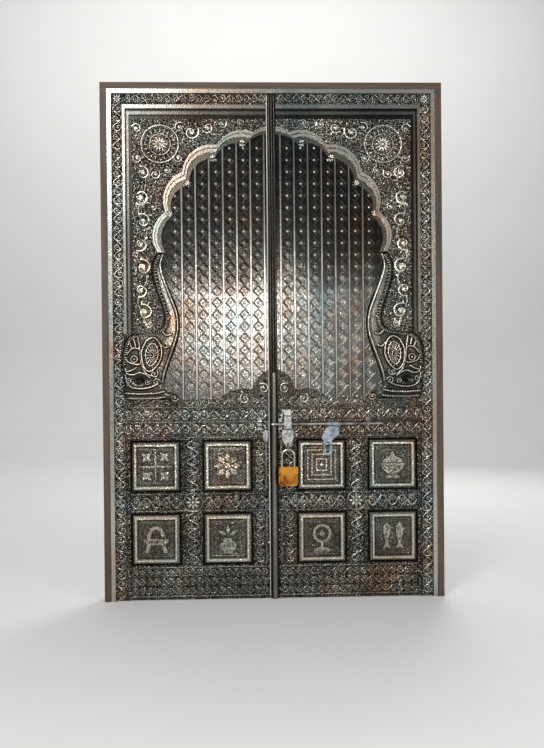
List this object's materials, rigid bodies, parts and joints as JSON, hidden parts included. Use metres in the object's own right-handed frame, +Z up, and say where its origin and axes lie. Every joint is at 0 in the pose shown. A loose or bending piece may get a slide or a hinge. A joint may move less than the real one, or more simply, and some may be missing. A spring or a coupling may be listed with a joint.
{
  "type": "carved temple door",
  "caption": "Double-leaf temple door in its frame, clad in embossed silver sheet, with arched slatted panels, elephants, a sliding bolt and a hanging padlock.",
  "frame": {"origin": "the middle of the frame's foot: halfway between the jambs, halfway between the foremost and the hindmost point, at the lower ends of the jambs", "axes": "+Z up along the joint between the leaves, +X to the viewer's right, the dressed front faces -Y and the leaves open towards +Y"},
  "size_m": [1.274, 0.1024, 1.931],
  "materials": {
    "timber": "oiled",
    "sheet": "embossed sheet, tarnished",
    "field_sheet": "dark patina",
    "panel_sheet": "embossed sheet, worn bright on the ridges",
    "hinge_iron": "oiled",
    "bolt_steel": "handled",
    "plate_steel": "worn",
    "lock_brass": "satin"
  },
  "bodies": {
    "frame": {"left_jamb": "timber", "right_jamb": "timber", "head": "timber", "left_stop": "timber", "right_stop": "timber", "head_stop": "timber", "frame_trim": "sheet", "left_hinge_jamb_plates": "hinge_iron", "right_hinge_jamb_plates": "hinge_iron"},
    "left_leaf": {"left_core": "timber", "left_field_board": "field_sheet", "left_border": "sheet", "left_inner_moulding": "sheet", "left_spandrel": "sheet", "left_arch": "sheet", "left_slats": "sheet", "left_elephant": "sheet", "left_mid_rail": "sheet", "left_bottom_rail": "sheet", "left_cross_rail": "sheet", "left_meeting_stiles": "sheet", "left_muntins": "sheet", "left_lower_inner_panel": "panel_sheet", "left_lower_outer_panel": "panel_sheet", "left_upper_inner_panel": "panel_sheet", "left_upper_outer_panel": "panel_sheet", "left_hinge_leaf_plates": "hinge_iron", "bolt_keeper": "bolt_steel", "escutcheon": "sheet"},
    "right_leaf": {"right_core": "timber", "right_field_board": "field_sheet", "right_border": "sheet", "right_inner_moulding": "sheet", "right_spandrel": "sheet", "right_arch": "sheet", "right_slats": "sheet", "right_elephant": "sheet", "right_mid_rail": "sheet", "right_bottom_rail": "sheet", "right_cross_rail": "sheet", "right_meeting_stiles": "sheet", "right_muntins": "sheet", "right_lower_inner_panel": "panel_sheet", "right_lower_outer_panel": "panel_sheet", "right_upper_inner_panel": "panel_sheet", "right_upper_outer_panel": "panel_sheet", "right_hinge_leaf_plates": "hinge_iron", "upper_meeting_bar": "sheet", "lower_meeting_bar": "sheet", "bolt_guides": "bolt_steel", "lock_plate": "plate_steel"},
    "bolt": {"bolt_rod": "bolt_steel"},
    "hasp": {"hasp_arm": "bolt_steel"},
    "shackle": {"padlock_shackle": "plate_steel"},
    "padlock": {"padlock_body": "lock_brass"}
  },
  "joints": [
    {"name": "left_leaf_swing", "type": "hinge", "parent": "frame", "child": "left_leaf", "pos_m": [-0.6075, 0.04425, 0.95], "axis": [0, 0, 1], "range_deg": [0, 95]},
    {"name": "right_leaf_swing", "type": "hinge", "parent": "frame", "child": "right_leaf", "pos_m": [0.6075, 0.04425, 0.95], "axis": [0, 0, -1], "range_deg": [0, 95]},
    {"name": "bolt_slide", "type": "slide", "parent": "right_leaf", "child": "bolt", "axis": [-1, 0, 0], "range_m": [0, 0.05]},
    {"name": "hasp_arm_swing", "type": "hinge", "parent": "bolt", "child": "hasp", "pos_m": [0.219, -0.03725, 0.657], "axis": [-1, 0, 0], "range_deg": [0, 120]},
    {"name": "padlock_swing", "type": "hinge", "parent": "right_leaf", "child": "shackle", "pos_m": [0.05, -0.03825, 0.562], "axis": [-1, 0, 0], "range_deg": [-3, 75]},
    {"name": "padlock_release", "type": "slide", "parent": "shackle", "child": "padlock", "axis": [0, 0, -1], "range_m": [0, 0.014]}
  ]
}
